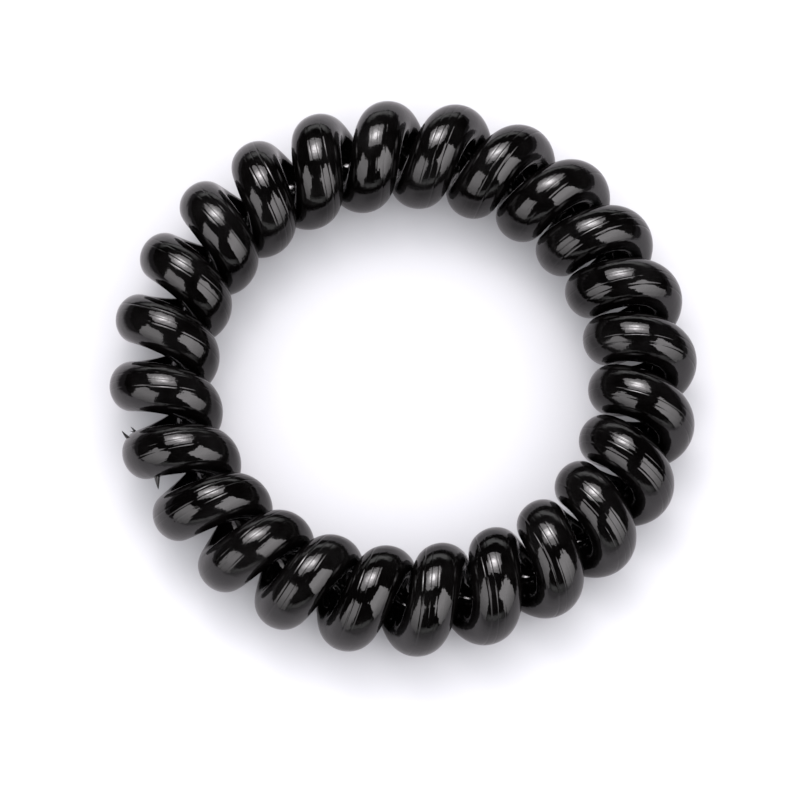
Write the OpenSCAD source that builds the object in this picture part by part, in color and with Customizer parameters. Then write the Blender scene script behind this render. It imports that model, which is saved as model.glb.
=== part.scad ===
// Spiral hair tie: one round strand, wound into a coil, bent round into a ring and welded end to end.
// The ring lies flat on z = 0, each turn on its own lowest point, and z runs through its middle.

/* [Ring] */
// Clear opening across the ring, between its innermost turns
opening_w = 32.7; // [26:0.1:42]
// How uneven the turns lie round the ring: 0 is a perfectly even ring, 1 the real one
uneven_ratio = 1; // [0:0.1:1.5]

/* [Strand] */
// Diameter of the round strand
strand_d = 4.45; // [3.6:0.05:5.6]
// Width of the hollow along the middle of the coil
core_d = 0.9; // [0.5:0.1:3.5]
// Gap between neighbouring turns where they come closest
turn_gap = 0.1; // [0.05:0.05:0.6]

/* [Weld] */
// Height of the ridge round the strand where its ends are welded together
weld_h = 0.15; // [0.05:0.05:0.4]
// Width of that ridge along the strand
weld_w = 1; // [0.6:0.1:2]

/* [Hidden] */
BLACK = [0.04, 0.04, 0.05];

// Sides of the strand's section
SIDE_COUNT = 12;
// Triangles that the whole strand may have, shared out over its turns
TRIANGLE_COUNT = 9600;
// Rows that draw the ridge of the weld
WELD_ROW_COUNT = 5;
// Angle round the coil over which the strand's direction is taken
STEP_ANGLE = 0.36;

// Angle round the ring of the first turn's lowest point
start_angle = 194.3;
// Angle round the coil from that lowest point, up the outside, to the weld
weld_angle = 130;

// The ring isn't quite even: waves that run round it push the turns a little.
// Push along the ring: waves in the ring, angle of a crest, height as a share of one turn's room
spread = [
    [1, 290, 0.040],
    [2, 110, 0.012],
    [3, 110, 0.018],
    [4, 35, 0.010]
];
// Push outwards: waves in the ring, angle of a crest, height as a share of the coil's width
bulge = [
    [2, 160, 0.012],
    [3, 70, 0.006],
    [4, 65, 0.009]
];

coil_w = core_d + 2 * strand_d;
coil_r = (coil_w - strand_d) / 2;
ring_r = (opening_w + coil_w) / 2;
inner_r = ring_r - coil_r;

function total(list) = list * [for (entry = list) 1];
function unit(v) = v / norm(v);

// Sum of a table's waves at angle u of the ring, and its slope there for each whole turn of the ring
function wave(table, u) =
    uneven_ratio * total([
        for (w = table) let (waves = w[0], crest = w[1], height = w[2])
            height * cos(waves * (u - crest))
    ]);
function wave_slope(table, u) =
    uneven_ratio * total([
        for (w = table) let (waves = w[0], crest = w[1], height = w[2])
            -2 * PI * waves * height * sin(waves * (u - crest))
    ]);

// Turns that an even ring would hold with the gap between them, whole ones and a part of one
full_turns = inner_r * sqrt(pow(2 * PI / (strand_d + turn_gap), 2) - pow(1 / coil_r, 2));
// A turn's room at angle u, as a share of an even turn's, and the whole turns that fit the least room
function room(u) =
    (1 + wave_slope(spread, u) / full_turns) * (1 + coil_w * wave(bulge, u) / inner_r);
turns = floor(full_turns * min([for (u = [0:5:355]) room(u)]));

turn_length = 2 * PI * norm([coil_r, ring_r / turns]);
rows_per_turn = 2 * floor(TRIANGLE_COUNT / (4 * SIDE_COUNT * turns));
row_length = turn_length / rows_per_turn;

// Centre of the strand after t turns. It climbs the outside of the coil, crosses the top inwards
// and drops down the inside, while the coil goes counter-clockwise round the ring.
function even_angle(t) = start_angle + 360 * t / turns;
function ring_angle(t) = even_angle(t) + 360 / turns * wave(spread, even_angle(t));
function coil_angle(t) = 360 * t - 90;
function from_axis(t) =
    ring_r + coil_w * wave(bulge, even_angle(t)) + coil_r * cos(coil_angle(t));
function centre(t) = [
    from_axis(t) * cos(ring_angle(t)),
    from_axis(t) * sin(ring_angle(t)),
    coil_w / 2 + coil_r * sin(coil_angle(t))
];

// Direction from the middle of the coil out to the strand's centre
function outward(t) = [
    cos(coil_angle(t)) * cos(ring_angle(t)),
    cos(coil_angle(t)) * sin(ring_angle(t)),
    sin(coil_angle(t))
];

// One row of points round the strand, square to its direction
function row(t, radius) =
    let (
        step = STEP_ANGLE / 360,
        along = unit(centre(t + step) - centre(t - step)),
        out = unit(outward(t) - (outward(t) * along) * along),
        side = cross(along, out)
    )
    [
        for (i = [0:SIDE_COUNT - 1]) let (a = 360 * i / SIDE_COUNT)
            centre(t) + radius * (cos(a) * side + sin(a) * out)
    ];

// Distance along the strand from the weld, and the strand's radius there with the ridge's round hump
function past_weld(t) = (t - weld_angle / 360) * turn_length;
function radius_at(t) =
    strand_d / 2
    + (abs(past_weld(t)) < weld_w / 2 ? weld_h * (1 + cos(360 * past_weld(t) / weld_w)) / 2 : 0);

// Places of the rows, in turns: even ones, except that the weld has closer rows of its own
weld_reach = (weld_w + row_length) / 2;
even_places = [for (k = [0:turns * rows_per_turn - 1]) k / rows_per_turn];
weld_places = [
    for (k = [0:WELD_ROW_COUNT - 1])
        weld_angle / 360 + (k / (WELD_ROW_COUNT - 1) - 0.5) * weld_w / turn_length
];
places = concat(
    [for (t = even_places) if (past_weld(t) < -weld_reach) t],
    weld_places,
    [for (t = even_places) if (past_weld(t) > weld_reach) t]
);

// A closed tube's points and triangles, with the last row joined to the first
function tube_points() = [for (t = places) each row(t, radius_at(t))];
function tube_triangles() = [
    for (k = [0:len(places) - 1], i = [0:SIDE_COUNT - 1])
        let (
            here = k * SIDE_COUNT,
            next = (k + 1) % len(places) * SIDE_COUNT,
            j = (i + 1) % SIDE_COUNT
        )
        each [[here + i, here + j, next + j], [here + i, next + j, next + i]]
];

module strand() {
    color(BLACK) polyhedron(points = tube_points(), faces = tube_triangles(), convexity = 20);
}

strand();
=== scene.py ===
# Spiral hair tie: one glossy black strand, wound into a coil and bent round into a ring, lying on white
import math
import bpy
import mathutils
import numpy as np
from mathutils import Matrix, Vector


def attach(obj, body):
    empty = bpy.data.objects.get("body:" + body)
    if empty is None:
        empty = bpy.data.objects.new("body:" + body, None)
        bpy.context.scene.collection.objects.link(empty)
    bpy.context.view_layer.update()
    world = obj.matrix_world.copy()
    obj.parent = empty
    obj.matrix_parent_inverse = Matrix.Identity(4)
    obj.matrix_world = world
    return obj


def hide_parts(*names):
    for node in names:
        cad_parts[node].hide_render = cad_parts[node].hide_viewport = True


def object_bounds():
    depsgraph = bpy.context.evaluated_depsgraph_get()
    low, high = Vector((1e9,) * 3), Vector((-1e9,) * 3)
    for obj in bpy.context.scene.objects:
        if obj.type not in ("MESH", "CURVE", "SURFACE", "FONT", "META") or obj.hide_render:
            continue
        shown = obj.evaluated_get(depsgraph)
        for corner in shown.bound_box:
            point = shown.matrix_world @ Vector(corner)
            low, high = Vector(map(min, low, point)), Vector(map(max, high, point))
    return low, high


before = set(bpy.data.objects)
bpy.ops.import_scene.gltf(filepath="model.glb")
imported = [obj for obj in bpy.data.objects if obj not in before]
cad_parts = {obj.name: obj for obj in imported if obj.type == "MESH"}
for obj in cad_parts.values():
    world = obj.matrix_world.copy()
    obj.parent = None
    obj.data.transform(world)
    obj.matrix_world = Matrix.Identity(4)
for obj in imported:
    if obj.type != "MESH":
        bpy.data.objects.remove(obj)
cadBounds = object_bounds()
print("frame loaded")


# Makes every row of an array of directions one unit long
def unit(vectors):
    return vectors / np.linalg.norm(vectors, axis=-1, keepdims=True)


# Adds a node to a tree: settings are its own properties, values go into its input sockets
def addNode(tree, kind, values=None, **settings):
    node = tree.nodes.new(kind)
    for key, value in settings.items():
        setattr(node, key, value)
    for socket, value in (values or {}).items():
        node.inputs[socket].default_value = value
    return node


# Adds a Math node whose inputs are numbers or other nodes' outputs
def addMath(tree, operation, *inputs):
    node = tree.nodes.new("ShaderNodeMath")
    node.operation = operation
    for socket, value in zip(node.inputs, inputs):
        if isinstance(value, (int, float)):
            socket.default_value = value
        else:
            tree.links.new(value, socket)
    return node.outputs["Value"]


# Adds a Map Range node: while value goes from fromLow to fromHigh, the result goes from toLow to toHigh.
# Each may be a number or another node's output.
def addRange(tree, value, fromLow, fromHigh, toLow=0.0, toHigh=1.0):
    node = tree.nodes.new("ShaderNodeMapRange")
    for socket, given in zip(node.inputs, (value, fromLow, fromHigh, toLow, toHigh)):
        if isinstance(given, (int, float)):
            socket.default_value = given
        else:
            tree.links.new(given, socket)
    return node.outputs["Result"]


# Adds a Noise node that reads a place, and gives its height from 0 to 1
def addNoise(tree, place, scale, detail, roughness=0.5):
    values = {"Scale": scale, "Detail": detail, "Roughness": roughness}
    node = addNode(tree, "ShaderNodeTexNoise", values)
    tree.links.new(place, node.inputs["Vector"])
    return node.outputs["Fac"]


# Adds a colour Mix node: share 0 gives the first colour, 1 the second.
# Each colour may be another node's output.
def addMix(tree, share, *colours):
    node = addNode(tree, "ShaderNodeMix", data_type="RGBA")
    tree.links.new(share, node.inputs["Factor"])
    for socket, colour in zip(("A", "B"), colours):
        if isinstance(colour, tuple):
            node.inputs[socket].default_value = colour
        else:
            tree.links.new(colour, node.inputs[socket])
    return node.outputs["Result"]


# Camera. Lengths are metres, and the picture is square.
cameraValues = {
    "aim": (-0.000359, -0.002302, 0.0049),  # point in the middle of the picture
    "elevation": 70.49,  # degrees above the floor
    "distance": 0.6,
    "pixelsPerMetre": 11240.0,  # at the aim, in a picture 800 pixels wide
    "pictureWidth": 800,
    "sensor": 36.0,  # its width in millimetres, as is the lens
    "clip": (0.01, 20.0),  # nearest and furthest that is drawn
}


# Camera at aim + distance x (0, -cos(elevation), sin(elevation)), turned to look at the aim.
# Its lens is sensor x distance x pixels to a metre / picture width.
def makeCamera(v):
    elevation = math.radians(v["elevation"])
    data = bpy.data.cameras.new("photoView")
    data.sensor_width = v["sensor"]
    data.lens = v["sensor"] * v["distance"] * v["pixelsPerMetre"] / v["pictureWidth"]
    data.clip_start, data.clip_end = v["clip"]
    camera = bpy.data.objects.new("photoView", data)
    back = v["distance"] * math.cos(elevation)
    up = v["distance"] * math.sin(elevation)
    camera.location = (v["aim"][0], v["aim"][1] - back, v["aim"][2] + up)
    camera.rotation_euler = (math.pi / 2 - elevation, 0, 0)
    bpy.context.scene.collection.objects.link(camera)
    bpy.context.scene.camera = camera


makeCamera(cameraValues)
print("camera placed")

# The strand. Lengths are metres, angles are degrees. Places along it are counted in turns.
strandValues = {
    "turns": 24,
    "opening": 0.0327,  # clear width across the ring
    "core": 0.0009,  # hollow along the middle of the coil, if the strand were quite round
    "flatness": 0.88,  # the section's thickness away from the coil's middle, as a share of its width
    "firstTurn": 194.3,  # angle round the ring of the first turn's lowest point
    "spread": ((1, 290, 0.040), (2, 110, 0.012), (3, 110, 0.018), (4, 35, 0.010)),
    "bulge": ((2, 160, 0.012), (3, 70, 0.006), (4, 65, 0.009)),
    "directionStep": 0.001,  # turns either side over which its direction is taken
    "weldPlace": 130 / 360,  # turns from the first lowest point to the weld
    "weldRidge": 0.00003,
    "weldWidth": 0.0008,
    "rowsPerTurn": 90,
    "columns": 45,
    "dieDrift": ((1, 8, 3.5), (2, 10, 2.0)),  # waves round the ring, turn of a crest, degrees
}

coilWidth = cadBounds[1].z - cadBounds[0].z
strandRadius = (coilWidth - strandValues["core"]) / 4
coilRadius = coilWidth / 2 - strandRadius * strandValues["flatness"]
ringRadius = (strandValues["opening"] + coilWidth) / 2
turnLength = 2 * math.pi * math.hypot(coilRadius, ringRadius / strandValues["turns"])


# Sum of waves round the ring: each row of the table adds height x cos(waves x (angle - crest))
def ringWaves(table, angle):
    waves, crest, height = (np.array(column)[:, None] for column in zip(*table))
    return np.sum(height * np.cos(waves * (angle - np.radians(crest))), axis=0)


# Centre of the strand at place t, and the direction out to it from the middle of the coil:
# a small circle that is carried round the ring while it is gone round once a turn
def strandCentre(t, v):
    evenAngle = np.radians(v["firstTurn"]) + 2 * np.pi * t / v["turns"]
    ringAngle = evenAngle + 2 * np.pi / v["turns"] * ringWaves(v["spread"], evenAngle)
    coilAngle = 2 * np.pi * t - np.pi / 2
    cosCoil, sinCoil = np.cos(coilAngle), np.sin(coilAngle)
    cosRing, sinRing = np.cos(ringAngle), np.sin(ringAngle)
    fromAxis = ringRadius + coilWidth * ringWaves(v["bulge"], evenAngle) + coilRadius * cosCoil
    height = coilWidth / 2 + coilRadius * sinCoil
    centre = np.stack([fromAxis * cosRing, fromAxis * sinRing, height], axis=-1)
    outward = np.stack([cosCoil * cosRing, cosCoil * sinRing, sinCoil], axis=-1)
    return centre, outward


# The section's centre and axes at place t: along the strand, away from the coil's middle, across both
def strandAxes(t, v):
    centre, outward = strandCentre(t, v)
    step = v["directionStep"]
    along = unit(strandCentre(t + step, v)[0] - strandCentre(t - step, v)[0])
    out = unit(outward - np.sum(outward * along, axis=-1, keepdims=True) * along)
    return centre, along, out, np.cross(along, out)


# How far the die's lines have turned round the section at place t: a sum of slow waves
def dieTurn(t, v):
    waves, crest, size = (np.array(column)[:, None] for column in zip(*v["dieDrift"]))
    return np.radians(np.sum(size * np.cos(2 * np.pi * waves * (t - crest) / v["turns"]), axis=0))


# Height of the weld's ridge at place t: half a cosine hump, as wide as the ridge
def ridgeHeight(t, v):
    past = (t - v["weldPlace"] + v["turns"] / 2) % v["turns"] - v["turns"] / 2
    phase = np.clip(past * turnLength / v["weldWidth"], -0.5, 0.5)
    return v["weldRidge"] * (1 + np.cos(2 * np.pi * phase)) / 2


# Surface of the strand at place t and section angle a:
# centre + (radius + ridge) x (cos(a) across + flatness x sin(a) outwards)
def strandSurface(t, a, v):
    centre, _, out, across = (axis[:, None] for axis in strandAxes(t, v))
    radius = strandRadius + ridgeHeight(t, v)[:, None, None]
    cosA, sinA = np.cos(a)[None, :, None], np.sin(a)[None, :, None]
    return centre + radius * (cosA * across + v["flatness"] * sinA * out)


# Corners of a grid's cells, one row of four for each cell, in the order that faces outwards
def cellCorners(grid):
    corners = [grid[:-1, :-1], grid[1:, :-1], grid[1:, 1:], grid[:-1, 1:]]
    return np.stack(corners, axis=2).reshape(-1, 4, *grid.shape[2:])


# A smooth mesh object from points and faces
def makePiece(name, points, faces, material):
    mesh = bpy.data.meshes.new(name)
    mesh.from_pydata(points.reshape(-1, 3).tolist(), [], faces)
    mesh.shade_smooth()
    mesh.materials.append(material)
    mesh.update()
    piece = bpy.data.objects.new(name, mesh)
    bpy.context.scene.collection.objects.link(piece)
    return piece


# Black gloss plastic. Lengths are metres, angles are degrees.
plasticValues = {
    "black": (0.00015, 0.0001, 0.0001, 1),
    "worn": (0.0006, 0.0005, 0.0005, 1),  # where hands and hair have dulled it
    "ior": 1.5,
    "roughness": (0.05, 0.13),  # from polished to dulled
    "dullScale": 260.0,  # patches to a metre
    "dullNoise": (5.0, 0.6),  # detail and roughness of the patches' noise
    "dullLimits": (0.38, 0.68),  # noise up to which it is polished, and from which it is dulled
    # grooves left by the die: angle round the section, half width, depth
    "dieLines": (
        (80.0, 1.9, 0.000011),
        (96.5, 1.2, 0.000013),
        (114.5, 2.2, 0.000022),
        (205.0, 0.9, 0.000006),
        (318.0, 0.9, 0.000006),
        (356.0, 0.7, 0.000004),
    ),
    "lineStrength": (0.45, 1.45),  # they fade and deepen between these along the strand
    "lineChange": 0.6,  # how often, in a turn
    "lineNoise": (1.0, 1.0),  # scale and detail of the noise that does it
    "lineLimits": (0.35, 0.65),  # noise up to which they are weakest, and from which strongest
    "fineLines": 9.0,  # fine lines to a radian of the section
    "fineLineNoise": (1.0, 0.4),  # detail and roughness of their noise
    "fineLineDepth": 0.000010,
    "fineLineChange": 0.5,
    "peelScale": 1600.0,  # shallow waves of the skin
    "peelDepth": 0.00002,
    "grainScale": 4200.0,
    "grainDepth": 0.0000011,
    "skinDetail": 2.0,  # detail of the noise of both the waves and the grain
}


# Unit circle of the section, with the place along the strand as the third number, from the piece's map:
# what is laid on it runs along the strand and meets where it has gone round
def sectionPlace(tree, split, change):
    angle = addMath(tree, "MULTIPLY", split.outputs["X"], 2 * math.pi)
    place = addNode(tree, "ShaderNodeCombineXYZ")
    tree.links.new(addMath(tree, "COSINE", angle), place.inputs["X"])
    tree.links.new(addMath(tree, "SINE", angle), place.inputs["Y"])
    tree.links.new(addMath(tree, "MULTIPLY", split.outputs["Y"], change), place.inputs["Z"])
    return place.outputs["Vector"]


# Height of the die's grooves: minus their strength here x the sum of
# depth x exp(-((angle - its angle) / half width)^2)
def dieGrooves(tree, split, v):
    share = addMath(tree, "FRACT", split.outputs["X"])
    angle = addMath(tree, "MULTIPLY", share, 360.0)
    total = 0.0
    for lineAngle, halfWidth, depth in v["dieLines"]:
        off = addMath(tree, "DIVIDE", addMath(tree, "SUBTRACT", angle, lineAngle), halfWidth)
        power = addMath(tree, "MULTIPLY", addMath(tree, "MULTIPLY", off, off), -1.0)
        groove = addMath(tree, "MULTIPLY", addMath(tree, "EXPONENT", power), -depth)
        total = addMath(tree, "ADD", groove, total)
    patches = addNoise(tree, sectionPlace(tree, split, v["lineChange"]), *v["lineNoise"])
    strength = addRange(tree, patches, *v["lineLimits"], *v["lineStrength"])
    return addMath(tree, "MULTIPLY", total, strength)


# Height of the fine lines between the grooves: noise that hardly changes along the strand
def fineLines(tree, split, v):
    place = sectionPlace(tree, split, v["fineLineChange"] / v["fineLines"])
    lines = addNoise(tree, place, v["fineLines"], *v["fineLineNoise"])
    return addMath(tree, "MULTIPLY", lines, v["fineLineDepth"])


# Gloss plastic. How dull it is follows the patches' noise between its limits, and goes from black to
# worn and from polished to dulled. The bump's height is peel + grain, and on a piece with a map of its
# own also + grooves + fine lines.
def makePlastic(name, v, hasMap):
    material = bpy.data.materials.new(name)
    material.use_nodes = True
    tree = material.node_tree
    shader = tree.nodes["Principled BSDF"]
    shader.inputs["IOR"].default_value = v["ior"]
    here = addNode(tree, "ShaderNodeTexCoord").outputs["Object"]

    patches = addNoise(tree, here, v["dullScale"], *v["dullNoise"])
    dull = addRange(tree, patches, *v["dullLimits"])
    tree.links.new(addMix(tree, dull, v["black"], v["worn"]), shader.inputs["Base Color"])
    tree.links.new(addRange(tree, dull, 0, 1, *v["roughness"]), shader.inputs["Roughness"])

    height = 0.0
    for layer in ("peel", "grain"):
        noise = addNoise(tree, here, v[layer + "Scale"], v["skinDetail"])
        height = addMath(tree, "ADD", addMath(tree, "MULTIPLY", noise, v[layer + "Depth"]), height)
    if hasMap:
        surfaceMap = addNode(tree, "ShaderNodeUVMap", uv_map="strandMap")
        split = addNode(tree, "ShaderNodeSeparateXYZ")
        tree.links.new(surfaceMap.outputs["UV"], split.inputs["Vector"])
        height = addMath(tree, "ADD", height, dieGrooves(tree, split, v))
        height = addMath(tree, "ADD", height, fineLines(tree, split, v))
    bump = addNode(tree, "ShaderNodeBump", {"Distance": 1.0})
    tree.links.new(height, bump.inputs["Height"])
    tree.links.new(bump.outputs["Normal"], shader.inputs["Normal"])
    return material


# The strand: a grid of its surface at even places from the weld and even section angles, closed both
# ways. Its map is (section angle / full circle - the die's turn, turns from the weld).
def makeStrand(v):
    a = np.arange(v["columns"]) * 2 * np.pi / v["columns"]
    t = v["weldPlace"] + np.arange(v["turns"] * v["rowsPerTurn"]) / v["rowsPerTurn"]
    points = strandSurface(t, a, v)
    ids = np.arange(len(t) * len(a)).reshape(len(t), len(a))
    closed = np.pad(ids, ((0, 1), (0, 1)), mode="wrap")  # the last row and column meet the first
    faces = cellCorners(closed)
    material = makePlastic("black gloss", plasticValues, True)
    piece = makePiece("coiled_strand", points, faces.tolist(), material)
    turnsDone = np.arange(len(t) + 1) / v["rowsPerTurn"]
    angleShare, placeShare = np.meshgrid(np.arange(len(a) + 1) / len(a), turnsDone)
    angleShare -= dieTurn(turnsDone + v["weldPlace"], v)[:, None] / (2 * np.pi)
    cornerMap = cellCorners(np.stack([angleShare, placeShare], axis=-1))
    piece.data.uv_layers.new(name="strandMap").data.foreach_set("uv", cornerMap.ravel())
    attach(piece, "root")
    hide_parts("strand")
    return piece


strand = makeStrand(strandValues)
print("strand made:", 2 * len(strand.data.polygons), "triangles")

# Flash that was squeezed out of the weld: thin pointed slivers on both its sides. Lengths are metres.
flashValues = {
    "rows": 12,
    "sides": 14,
    "rootDepth": 0.00012,  # how far a sliver is sunk in the strand
    "taperPower": 0.8,  # below 1 it stays wide and then comes to a point
    "tipShare": 0.02,  # width that is left at the tip, as a share of the root's
    # place in degrees of the coil, section angle, length, half width along and round the strand,
    # lean along and round it at the tip
    "slivers": (
        (132.8, 2.6, 0.00112, 0.00027, 0.00030, 0.02, -0.01),
        (82.1, 150.9, 0.00076, 0.00010, 0.00018, 0.02, 0.13),
        (58.2, 173.0, 0.00059, 0.00011, 0.00016, 0.07, -0.14),
        (61.4, 171.3, 0.00031, 0.00009, 0.00012, 0.25, -0.66),
    ),
}


# One sliver at share s of its length and angle b round it: root + s x length x (outwards + s x lean)
# + ((1 - s)^power + tip share) x (half width along x cos(b) + half width round x sin(b)).
# The root is sunk in the strand's surface: centre + radius x (cos(a) across + flatness x sin(a) out)
# - depth x outwards, at section angle a.
def sliverSurface(s, b, row, v):
    place, angle, length, halfAlong, halfRound, leanAlong, leanRound = row
    centre, along, out, across = (axis[0] for axis in strandAxes(np.array([place / 360]), strandValues))
    a = math.radians(angle)
    outwards = math.cos(a) * across + math.sin(a) * out
    roundWay = -math.sin(a) * across + math.cos(a) * out
    lean = leanAlong * along + leanRound * roundWay
    surface = math.cos(a) * across + strandValues["flatness"] * math.sin(a) * out
    root = centre + strandRadius * surface - v["rootDepth"] * outwards
    s, b = s[:, None, None], b[None, :, None]
    axis = root + s * (length + v["rootDepth"]) * (outwards + s * lean)
    taper = (1 - s) ** v["taperPower"] + v["tipShare"]
    return axis + taper * (halfAlong * np.cos(b) * along + halfRound * np.sin(b) * roundWay)


# All slivers as one piece: each is a grid of rows by sides, closed round it and capped at both ends
def makeFlash(v):
    s = np.linspace(0, 1, v["rows"])
    b = np.arange(v["sides"]) * 2 * np.pi / v["sides"]
    count = v["rows"] * v["sides"]
    points, faces = [], []
    for number, row in enumerate(v["slivers"]):
        points.append(sliverSurface(s, b, row, v).reshape(-1, 3))
        ids = np.arange(count).reshape(v["rows"], v["sides"]) + number * count
        faces += cellCorners(np.pad(ids, ((0, 0), (0, 1)), mode="wrap")).tolist()
        faces += [ids[0].tolist(), ids[-1][::-1].tolist()]
    material = makePlastic("black flash", plasticValues, False)
    piece = makePiece("weld_flash", np.concatenate(points), faces, material)
    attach(piece, "root")


makeFlash(flashValues)
print("weld flash made")

# Floor. Lengths are metres.
floorValues = {
    "halfWidth": 1.6,
    "white": (0.198, 0.1973, 0.2028, 1),
    "roughness": 0.9,
    # what the gloss mirrors of it is a painted reflection: a lit grey strip along Y, wider towards the
    # front, with painted dark sides
    "strip": (0.160, 0.1534, 0.1578, 1),
    "sides": (0.018, 0.017, 0.018, 1),
    "stripMiddle": 0.006,
    "stripFan": 1.5,  # how much wider on each side for every metre towards the front
    "stripEdge": (0.042, 0.056),  # half width where it starts to fade and where it has gone
    # painted shades on the strip's reflection: from, to, share of its brightness at each
    "paintedMiddleShade": (0.004, 0.017, 0.45, 1.0),  # by distance from the ring's axis
    "paintedFrontShade": (0.028, 0.060, 1.0, 0.50),  # by distance ahead, less a share of that to the side
    "frontTaper": 0.6,  # that share
}


# Square matt floor, evenly pale except to glossy rays. The gloss mirrors it as a painted reflection:
# sides + painted strip x (strip - sides), with painted dark sides. The painted strip is the strip's fade
# by |x - middle| + fan x min(y, 0), x its painted shade by distance from the ring's axis,
# x its painted shade by -(taper x |x - middle| + min(y, 0)).
def makeFloor(v):
    material = bpy.data.materials.new("pale floor")
    material.use_nodes = True
    tree = material.node_tree
    shader = tree.nodes["Principled BSDF"]
    shader.inputs["Roughness"].default_value = v["roughness"]
    shader.inputs["Specular IOR Level"].default_value = 0.0
    split = addNode(tree, "ShaderNodeSeparateXYZ")
    tree.links.new(addNode(tree, "ShaderNodeTexCoord").outputs["Object"], split.inputs["Vector"])
    x, y = split.outputs["X"], split.outputs["Y"]
    aside = addMath(tree, "ABSOLUTE", addMath(tree, "SUBTRACT", x, v["stripMiddle"]))
    frontY = addMath(tree, "MINIMUM", y, 0.0)
    widened = addMath(tree, "ADD", aside, addMath(tree, "MULTIPLY", frontY, v["stripFan"]))
    squares = addMath(tree, "ADD", addMath(tree, "MULTIPLY", x, x), addMath(tree, "MULTIPLY", y, y))
    fromAxis = addMath(tree, "SQRT", squares)
    tapered = addMath(tree, "MULTIPLY_ADD", aside, v["frontTaper"], frontY)
    ahead = addMath(tree, "MULTIPLY", tapered, -1.0)
    paintedStrip = addRange(tree, widened, *v["stripEdge"], 1.0, 0.0)
    for reach, shade in ((fromAxis, "paintedMiddleShade"), (ahead, "paintedFrontShade")):
        paintedStrip = addMath(tree, "MULTIPLY", addRange(tree, reach, *v[shade]), paintedStrip)
    # painted light and shade on the floor, seen only in reflections: the lit strip, its painted shades
    # and its dark sides, in place of the even white
    mirrored = addMix(tree, paintedStrip, v["sides"], v["strip"])
    isMirrored = addNode(tree, "ShaderNodeLightPath").outputs["Is Glossy Ray"]
    tree.links.new(addMix(tree, isMirrored, v["white"], mirrored), shader.inputs["Base Color"])
    half, low = v["halfWidth"], cadBounds[0].z
    corners = np.array([[-half, -half, low], [half, -half, low], [half, half, low], [-half, half, low]])
    floor = makePiece("floor", corners, [(0, 1, 2, 3)], material)


makeFloor(floorValues)
print("floor laid")

# Studio light. Azimuths are degrees from +X towards +Y, zeniths degrees from straight up, sizes are
# angles seen from the hair tie. Levels are brightness beside a white card's.
lightValues = {
    "distance": 0.5,
    "panels": {
        # azimuth, zenith, azimuth of its width, width, height, level, share of it at the foot,
        # level added in the middle
        "overhead": (104, 28.5, 0, 49, 45, 2.95, 1.0, 24.0),
        "right": (-33, 59.5, 57, 45, 62, 4.40, 0.28, 0.0),
        "left": (-144.5, 66, -21.5, 42, 57, 3.05, 0.28, 0.0),
    },
    "footHeight": 0.65,  # of the part that fades towards the foot, as a share of the panel's height
    "tint": (1.0, 0.965, 0.985),
    "corePlace": 0.5,  # of the bright middle, as a share of the panel's width and of its height
    "coreWidth": (0.21, 0.17),  # its widths, as shares of the panel's width and height
    "corePower": 0.75,  # below 1 it is pointed, with wide skirts
    "room": 0.013,  # what the plastic mirrors beside the panels
    "cards": (0.85, 1.1),  # levels of low cards before and behind the table
    "cardReach": (0.8, 0.95),  # Y of a direction at which a card starts and at which it is whole
    "cardFoot": (0, 6, 0.5, 1.0),  # degrees above the floor: from, to, share of their level at each
    "cardTop": (11, 16),  # degrees above the floor where they start to fade and where they have gone
    "fill": (4.90, 4.93, 5.10, 1),  # soft light from all round
    "background": 0.93,
    "white": (1, 1, 1, 1),  # colour of the cards, the room and the background
}


# Brightness over a panel: level x its fade at the foot
# + middle x exp(-((across / width)^2 + (up / height)^2)^power)
def paintLight(light, level, footShare, middle, v):
    light.use_nodes = True
    tree = light.node_tree
    split = addNode(tree, "ShaderNodeSeparateXYZ")
    tree.links.new(addNode(tree, "ShaderNodeNewGeometry").outputs["Parametric"], split.inputs["Vector"])
    faded = addRange(tree, split.outputs["Y"], 0.0, v["footHeight"], level * footShare, level)
    squares = []
    for axis, width in zip("XY", v["coreWidth"]):
        off = addMath(tree, "SUBTRACT", split.outputs[axis], v["corePlace"])
        share = addMath(tree, "DIVIDE", off, width)
        squares.append(addMath(tree, "MULTIPLY", share, share))
    reach = addMath(tree, "POWER", addMath(tree, "ADD", *squares), v["corePower"])
    core = addMath(tree, "EXPONENT", addMath(tree, "MULTIPLY", reach, -1.0))
    hump = addMath(tree, "MULTIPLY", core, middle)
    tree.links.new(addMath(tree, "ADD", hump, faded), tree.nodes["Emission"].inputs["Strength"])


# Direction that lies at an azimuth and a zenith angle, in degrees
def direction(azimuth, zenith):
    a, z = math.radians(azimuth), math.radians(zenith)
    return np.array([math.sin(z) * math.cos(a), math.sin(z) * math.sin(a), math.cos(z)])


# A soft panel at distance x its direction, facing the hair tie. Its width and height are
# 2 x distance x tan(angle / 2). Its power is width x height x pi, which makes a strength of 1
# a level of 1.
def addPanel(name, panel, v):
    azimuth, zenith, widthAzimuth, width, height, level, footShare, middle = panel
    light = bpy.data.lights.new(name, "AREA")
    light.shape = "RECTANGLE"
    light.size = 2 * v["distance"] * math.tan(math.radians(width / 2))
    light.size_y = 2 * v["distance"] * math.tan(math.radians(height / 2))
    light.energy = light.size * light.size_y * math.pi
    light.color = v["tint"]
    paintLight(light, level, footShare, middle, v)
    lamp = bpy.data.objects.new(name, light)
    away = direction(azimuth, zenith)
    sideways = direction(widthAzimuth, 90)
    sideways = unit(sideways - np.dot(sideways, away) * away)
    turned = np.eye(4)
    turned[:3, :3] = np.stack([sideways, np.cross(away, sideways), away], axis=1)
    turned[:3, 3] = v["distance"] * away
    lamp.matrix_world = mathutils.Matrix(turned.tolist())
    bpy.context.scene.collection.objects.link(lamp)


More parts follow.
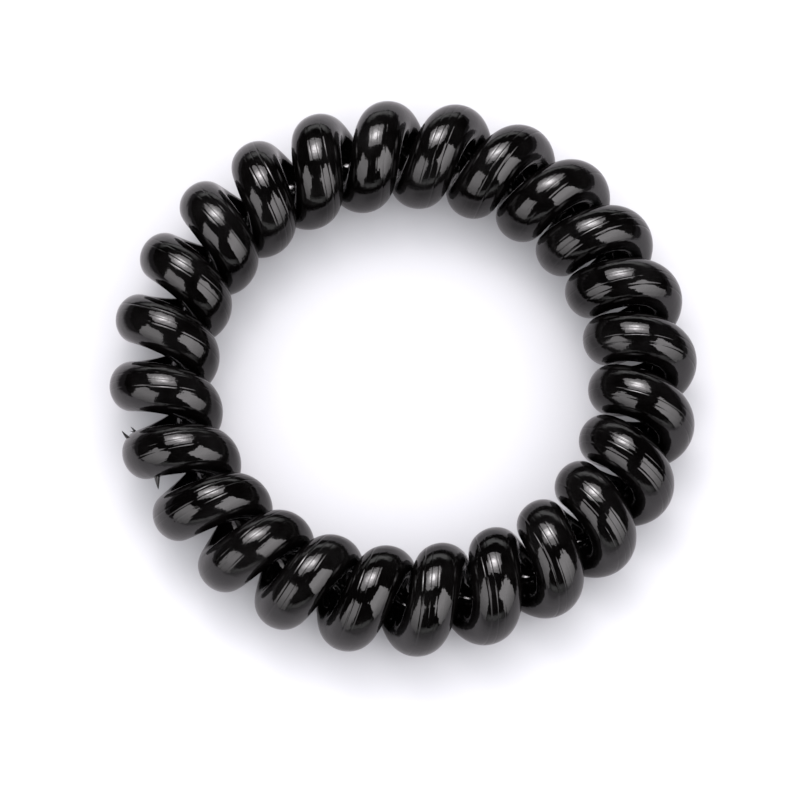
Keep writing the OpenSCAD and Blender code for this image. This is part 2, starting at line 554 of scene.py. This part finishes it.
# Surroundings: a dark room with low white cards for what is mirrored, an even fill for what is matt,
# and a pale background for the camera
def makeWorld(v):
    world = bpy.data.worlds.new("studio")
    bpy.context.scene.world = world
    world.use_nodes = True
    tree = world.node_tree
    tree.nodes.clear()
    split = addNode(tree, "ShaderNodeSeparateXYZ")
    tree.links.new(addNode(tree, "ShaderNodeTexCoord").outputs["Generated"], split.inputs["Vector"])
    height = addMath(tree, "DEGREES", addMath(tree, "ARCSINE", split.outputs["Z"]))
    lowLevel = v["room"]
    for side, card in zip((-1, 1), v["cards"]):
        towards = addMath(tree, "MULTIPLY", split.outputs["Y"], side)
        facing = addRange(tree, towards, *v["cardReach"], 0, card)
        lowLevel = addMath(tree, "MAXIMUM", facing, lowLevel)
    lowLevel = addMath(tree, "MULTIPLY", addRange(tree, height, *v["cardFoot"]), lowLevel)
    levels = addRange(tree, height, *v["cardTop"], lowLevel, v["room"])
    mirrored = addNode(tree, "ShaderNodeBackground", {"Color": v["white"]})
    tree.links.new(levels, mirrored.inputs["Strength"])
    fill = addNode(tree, "ShaderNodeBackground", {"Color": v["fill"]})
    pale = addNode(tree, "ShaderNodeBackground", {"Color": v["white"], "Strength": v["background"]})
    rays = addNode(tree, "ShaderNodeLightPath")
    toMirror = addNode(tree, "ShaderNodeMixShader")
    tree.links.new(rays.outputs["Is Glossy Ray"], toMirror.inputs["Fac"])
    tree.links.new(fill.outputs["Background"], toMirror.inputs[1])
    tree.links.new(mirrored.outputs["Background"], toMirror.inputs[2])
    toCamera = addNode(tree, "ShaderNodeMixShader")
    tree.links.new(rays.outputs["Is Camera Ray"], toCamera.inputs["Fac"])
    tree.links.new(toMirror.outputs["Shader"], toCamera.inputs[1])
    tree.links.new(pale.outputs["Background"], toCamera.inputs[2])
    out = addNode(tree, "ShaderNodeOutputWorld")
    tree.links.new(toCamera.outputs["Shader"], out.inputs["Surface"])


for panelName, panelRow in lightValues["panels"].items():
    addPanel(panelName, panelRow, lightValues)
makeWorld(lightValues)
bpy.context.scene.view_settings.view_transform = "Standard"
print("lights set")
